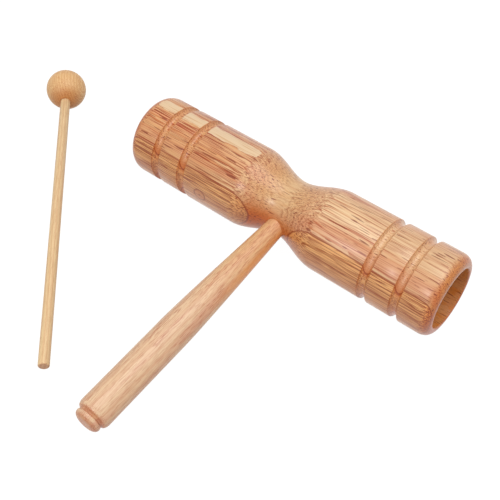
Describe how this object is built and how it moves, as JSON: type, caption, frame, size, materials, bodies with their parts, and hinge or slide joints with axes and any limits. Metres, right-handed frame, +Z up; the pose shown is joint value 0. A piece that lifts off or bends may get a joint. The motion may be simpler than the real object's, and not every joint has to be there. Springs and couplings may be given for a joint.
{
  "type": "tone block",
  "caption": "Turned wooden tone block: a waisted tube with a chamber bored in from each end, a side handle with an end bead, and a loose ball-headed beater lying beside it.",
  "frame": {"origin": "on the table that the set lies on, under the middle of the whole set's box", "axes": "+Z is up; +X runs along the block's bore axis, towards the deeper chamber's mouth; the handle points to -Y and its grip end rests on the table; the beater lies on the -X side"},
  "size_m": [0.2968, 0.1854, 0.047],
  "materials": {
    "body_wood": "orange-tan streaked hardwood under satin lacquer",
    "handle_wood": "pale pinkish hardwood under satin lacquer",
    "beater_head_wood": "pale fine-grained hardwood, smooth and nearly matt",
    "beater_stick_wood": "pale straight-grained dowel, smooth and nearly matt"
  },
  "bodies": {
    "tone_block": {"resonator_body": "body_wood", "handle": "handle_wood"},
    "beater": {"beater_head": "beater_head_wood", "beater_stick": "beater_stick_wood"}
  },
  "joints": [
    {"name": "beater_lift", "type": "slide", "parent": "tone_block", "child": "beater", "axis": [0, 0, 1], "range_m": [0, 0.08]}
  ]
}
